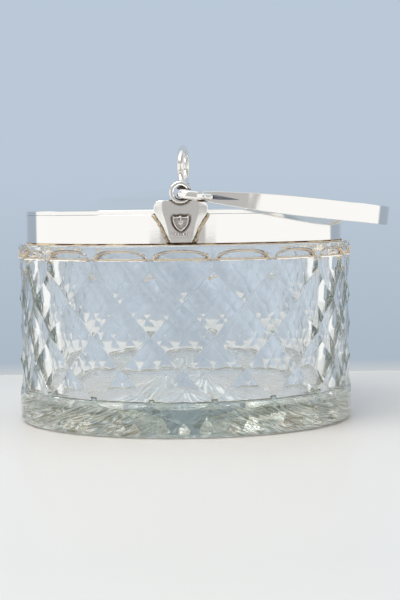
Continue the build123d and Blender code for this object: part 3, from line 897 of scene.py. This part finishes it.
# %% Ridges of the bowl
weld_distance, ridge_round = 0.0005 * mm, 0.3 * mm
star_top, star_reach = (long_ray[0] + 0.1) * mm, (long_ray[2] + 0.5) * mm
crisp_in_star, crisp_elsewhere, ridge_bend = radians(5), radians(40), radians(8)
bmesh.ops.remove_doubles(bm, verts=bm.verts, dist=weld_distance)
bmesh.ops.dissolve_degenerate(bm, edges=bm.edges, dist=weld_distance)
bmesh.ops.recalc_face_normals(bm, faces=bm.faces)
cut_vertices = {vertex for vertex in cut_vertices if vertex.is_valid}
for face in bm.faces:
    face.smooth = True
ridges = []
for edge in bm.edges:
    bend = edge.calc_face_angle()
    in_star = edge.verts[0].co.z < star_top and max(v.co.xy.length for v in edge.verts) < star_reach
    edge.smooth = bend < crisp_elsewhere and not (in_star and bend > crisp_in_star)
    if bend > ridge_bend and all(vertex in cut_vertices for vertex in edge.verts):
        ridges.append(edge)
print("ridge edges", len(ridges))
rounded = bmesh.ops.bevel(
    bm, geom=ridges, offset=ridge_round, segments=2, profile=0.5, affect="EDGES", clamp_overlap=False
)
ridge_faces = set(rounded["faces"])
for vertex in rounded["verts"]:
    if all(face in ridge_faces for face in vertex.link_faces):
        vertex[worn] = 1.0
for vertex in bm.verts:
    beyond = vertex.co.xy.length / (glass_radius * mm)
    if beyond > 1:
        vertex.co.xy = vertex.co.xy / beyond
print("vertices along the ridges", sum(vertex[worn] for vertex in bm.verts))

# %% [markdown]
# ### The finished bowl
# The mesh takes the place of the frame's bowl. The faces against the plaster and half of the inner corner
# get their own skins. Weighted normals keep the narrow bevels from smearing the large faces.

# %% Bowl object
shade_line_inner, shade_line_outer = floor_radius - 0.8, floor_radius - 0.2
shade_line_low, shade_line_high = floor_height + 0.1, floor_height + 0.65
neck_slack, shoulder_slack = 0.1, 0.01
mesh = bpy.data.meshes.new("bowl_glass")
bm.to_mesh(mesh)
bm.free()
coat(mesh, glass, bedded_glass, shade_line)
counts = [0, 0, 0]
for polygon in mesh.polygons:
    reach, height = polygon.center.xy.length / mm, polygon.center.z / mm
    on_neck = neck_radius - neck_slack < reach < bedding_radius
    if on_neck and shoulder_height - shoulder_slack < height < neck_top - neck_round:
        polygon.material_index = 1
    # The front half of the inner corner gets the painted shade line.
    if shade_line_inner < reach < shade_line_outer and shade_line_low < height < shade_line_high and polygon.center.y < 0:
        polygon.material_index = 2
    counts[polygon.material_index] += 1
bowl = new_object("bowl_glass", mesh)
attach(bowl, "root")
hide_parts("glass_bowl")
even_shine = bowl.modifiers.new("even_shine", "WEIGHTED_NORMAL")
even_shine.keep_sharp = True
print("faces of clear glass, glass on plaster and residue", counts)

# %% [markdown]
# ## Handle
# The handle is a flat strip bent to a half circle. Each end is a round bar that goes through a lug's eye,
# turns back and closes on the strip. A curve with a bevel has one section all along. Here each piece is a
# route of stations whose section changes from round to flat, and every corner normal is worked out from it,
# so a mirror finish runs smoothly over the joints.

# %% Sizes of the handle, in millimetres
pivot_height, bail_slope = 106.9, radians(6.483)
leg_offset, hook_turn, hook_bar, tip_bar, bar_swell = 78.2, 3.2, 1.68, 1.3, 0.4
strip_start, straight_end, strip_thickness, strip_corner = 9.0, 19.97, 2.0, 0.4
full_half_width, end_half_width, full_width_at = 4.4, 2.1, 60.0
round_until, flat_from, least_flat = 6.0, 12.0, 0.02
front_straight, close_end, tip_end, tip_least, solder_sink = 6.8, 10.9, 12.9, 0.05, 0.05
tail_end, tail_bar, tail_least, tail_overlap = 25.5, 0.9, 0.04, 1.0
widening, half_widening = full_width_at - strip_start, full_half_width - end_half_width
taper_radius = (widening**2 + half_widening**2) / (2 * half_widening)
bail_along = Vector((cos(bail_slope), 0, -sin(bail_slope)))
bail_up = Vector((sin(bail_slope), 0, cos(bail_slope)))
tip_offset = leg_offset + strip_thickness / 2 + tip_bar - solder_sink
print("handle taper radius", round(taper_radius, 1))


# %% Sections of the handle
def strip_section(along):
    """Half thickness, half width and corner radius of the strip at a distance from the pivot."""
    back = max(0.0, full_width_at - along)
    half_width = full_half_width - taper_radius + sqrt(taper_radius**2 - back**2)
    blend = ease(min(1.0, max(0.0, (along - round_until) / (flat_from - round_until))))
    thick = hook_bar + (strip_thickness / 2 - hook_bar) * blend
    wide = hook_bar + (half_width - hook_bar) * blend
    return thick, wide, (min(thick, wide) - least_flat) * (1 - blend) + strip_corner * blend


def round_bar(radius, swell=0.0):
    """Section of a round bar, swollen a little across its bend."""
    return radius, radius + swell, radius - least_flat


print("half width where the strip starts", round(strip_section(strip_start)[1], 2), "mm")

# %% Routes of the handle
tip_steps, tip_lean, closing_steps, bend_steps, back_steps = 6, 17, 10, 16, 8
tail_steps, straight_steps, bow_steps = 12, 8, 120


def hook_route():
    """Stations from the hook's tip to the strip: along, across, section, lean of the skin."""
    stations = []
    for step in range(tip_steps):
        lean = radians(tip_lean * (tip_steps - 1 - step))
        bar = round_bar(tip_bar * cos(lean) + tip_least)
        stations.append((tip_end + tip_bar * sin(lean), -tip_offset, bar, lean))
    hook_far = leg_offset + 2 * hook_turn
    for share in shares(closing_steps, 1):
        along, soft = close_end + (front_straight - close_end) * share, ease(share)
        bar = round_bar(tip_bar + (hook_bar - tip_bar) * soft, bar_swell * soft)
        stations.append((along, -(tip_offset + (hook_far - tip_offset) * soft), bar, 0.0))
    for share in shares(bend_steps):
        turn = radians(-90 - 180 * share)
        bar = round_bar(hook_bar, bar_swell * (1 - share))
        across = -(leg_offset + hook_turn) + hook_turn * sin(turn)
        stations.append((hook_turn + hook_turn * cos(turn), across, bar, 0.0))
    for share in shares(back_steps, 1):
        along = hook_turn + (strip_start - hook_turn) * share
        stations.append((along, -leg_offset, strip_section(along), 0.0))
    return stations


def tail_route():
    """Stations of the thin tail that runs on from the hook's tip along the strip."""
    stations = []
    for share in shares(tail_steps):
        bar = round_bar(tail_least + tail_bar * (1 - (1 - share) ** 2))
        along = tail_end + (close_end + tail_overlap - tail_end) * share
        stations.append((along, -leg_offset - strip_thickness / 2, bar, 0.0))
    return stations


def strip_route():
    """Stations of the flat strip between the two hooks."""
    stations = []
    for share in shares(straight_steps)[:-1]:
        along = strip_start + (straight_end - strip_start) * share
        stations.append((along, -leg_offset, strip_section(along), 0.0))
    straight = stations.copy()
    for share in shares(bow_steps):
        turn = radians(-90 + 180 * share)
        along = straight_end + leg_offset * cos(turn)
        stations.append((along, leg_offset * sin(turn), strip_section(along), 0.0))
    return stations + other_side(reversed(straight))


def other_side(stations):
    """The same route at the back of the barrel."""
    return [(along, -across, shape, lean) for along, across, shape, lean in stations]


print("stations", len(hook_route()), len(tail_route()), len(strip_route()))

# %% Sweeping a section along a route
corner_steps, pivot = 5, Vector((0, 0, pivot_height))
quarters = ((1, 1), (-1, 1), (-1, -1), (1, -1))


def lay(flat, up):
    """Turns a place or a direction on the sloping handle into the barrel's own axes."""
    return bail_along * flat.x + Vector((0, flat.y, 0)) + bail_up * up


def sweep(stations, points, normals, faces):
    """Adds one shell along a route of stations."""
    places = [Vector((along, across, 0)) for along, across, shape, lean in stations]
    first = len(points)
    for i, (along, across, (thick, wide, corner), lean) in enumerate(stations):
        ahead = places[min(i + 1, len(places) - 1)] - places[max(i - 1, 0)]
        ahead.normalize()
        side = Vector((ahead.y, -ahead.x, 0))
        for quarter, (sign_x, sign_y) in enumerate(quarters):
            for step in range(corner_steps + 1):
                turn = radians(90 * (quarter + step / corner_steps))
                out = sign_x * (thick - corner) + corner * cos(turn)
                up = sign_y * (wide - corner) + corner * sin(turn)
                points.append((pivot + lay(places[i] + side * out, up)) * mm)
                skin = side * cos(turn) * cos(lean) - ahead * sin(lean)
                normals.append(lay(skin, sin(turn) * cos(lean)))
    count = 4 * (corner_steps + 1)
    for i in range(len(stations) - 1):
        near, far = first + i * count, first + (i + 1) * count
        for j in range(count):
            k = (j + 1) % count
            faces.append((near + j, far + j, far + k, near + k))
    faces.append(tuple(range(first, first + count)))
    faces.append(tuple(reversed(range(len(points) - count, len(points)))))


def swept_bar(name, routes, finishes):
    """One closed shell along each route, each with its own finish and a true normal at every corner."""
    points, normals, faces, shell_ends = [], [], [], []
    for stations in routes:
        sweep(stations, points, normals, faces)
        shell_ends.append(len(faces))
    mesh = bpy.data.meshes.new(name)
    mesh.from_pydata(points, [], faces)
    mesh.shade_smooth()
    mesh.normals_split_custom_set_from_vertices(normals)
    coat(mesh, *finishes)
    for polygon in mesh.polygons:
        polygon.material_index = sum(polygon.index >= end for end in shell_ends)
    piece = new_object(name, mesh)
    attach(piece, "bail")
    return piece


print("corners in a section", 4 * (corner_steps + 1))

# %% Pieces of the handle
# Each hook's tail shell takes the dark tail finish, a painted shade.
front_routes = [hook_route(), tail_route()]
back_routes = [other_side(stations) for stations in front_routes]
front_hook = swept_bar("front_handle_hook", front_routes, (silver_plate, tail_shade))
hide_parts("front_bail_hook")
back_hook = swept_bar("back_handle_hook", back_routes, (silver_plate, tail_shade))
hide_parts("back_bail_hook")
strip = swept_bar("handle_strip", [strip_route()], (silver_plate,))
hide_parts("bail_band")
for piece in (front_hook, back_hook, strip):
    shell = bmesh.new()
    shell.from_mesh(piece.data)
    print(piece.name, "volume in mm3", round(shell.calc_volume(signed=True) / mm**3))
    shell.free()

# %% [markdown]
# ## Cast lugs and their pads
# Casting leaves no sharp corner. Each lug is copied from the frame, covered with an even skin of small cells
# and smoothed a little, so its relief looks poured. The pads also get an uneven skin, and their backs are
# pushed clear of the collar. Sculpting looks the same, but can't be written down as a few numbers.


# %% Cast copies
grain_size, grain_middle, softness = 1.4 * mm, 0.22, 0.5


def cast_copy(node, name, cell, passes, finish, unevenness):
    """A softened copy of a frame part that takes its place."""
    piece = new_object(name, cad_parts[node].data.copy())
    skin = piece.modifiers.new("even_skin", "REMESH")
    skin.mode = "VOXEL"
    skin.voxel_size = cell
    skin.use_smooth_shade = True
    if unevenness:
        grain = bpy.data.textures.new(name + "_grain", "CLOUDS")
        grain.noise_scale = grain_size
        uneven = piece.modifiers.new("uneven_skin", "DISPLACE")
        uneven.texture = grain
        uneven.strength = unevenness
        uneven.mid_level = grain_middle
    soft = piece.modifiers.new("soft_corners", "SMOOTH")
    soft.factor = softness
    soft.iterations = passes
    evaluated = piece.evaluated_get(bpy.context.evaluated_depsgraph_get())
    mesh = bpy.data.meshes.new_from_object(evaluated)
    piece.modifiers.clear()
    piece.data = mesh
    mesh.name = name
    coat(mesh, finish)
    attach(piece, "root")
    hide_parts(node)
    print(name, "faces", len(mesh.polygons))
    return piece


print("grain of the pads", round(grain_size / mm, 2), "mm")

# %% Lugs and pads
lug_cell, lug_passes = 0.16 * mm, 4
pad_cell, pad_passes, pad_unevenness, pad_clearance = 0.3 * mm, 3, 1.6 * mm, 0.06 * mm
collar_face = max(vertex.co.xy.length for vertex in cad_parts["rim_band"].data.vertices)
pad_back = collar_face + pad_clearance
for end in ("front", "back"):
    lug, seat = end + "_lug", end + "_lug_seat"
    cast_copy(lug, end + "_lug_casting", lug_cell, lug_passes, cast_silver, 0)
    pad = cast_copy(
        seat, end + "_solder_pad", pad_cell, pad_passes, solder, pad_unevenness
    )
    for vertex in pad.data.vertices:
        reach = vertex.co.xy.length
        if reach < pad_back:
            vertex.co.xy *= pad_back / reach
print("backs of the pads, mm from the axis", round(pad_back / mm, 2))

# %% [markdown]
# ## Lid, collar and small parts
# The frame brings these in as fine meshes with exact normals, just what a mirror finish needs, so they stay
# as they are. The stud, washer and nut of the finial are plain brass.

# %% Finishes for the frame's own parts
for finish, nodes in (
    (silver_plate, ("rim_band", "lid", "lid_bezel")),
    (finial_silver, ("finial_boss", "finial_ring")),
    (brass, ("finial_stud", "finial_washer", "finial_nut")),
    (plaster, ("plaster_bedding",)),
):
    for node in nodes:
        coat(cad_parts[node].data, finish)
    print(finish.name, "on", nodes)
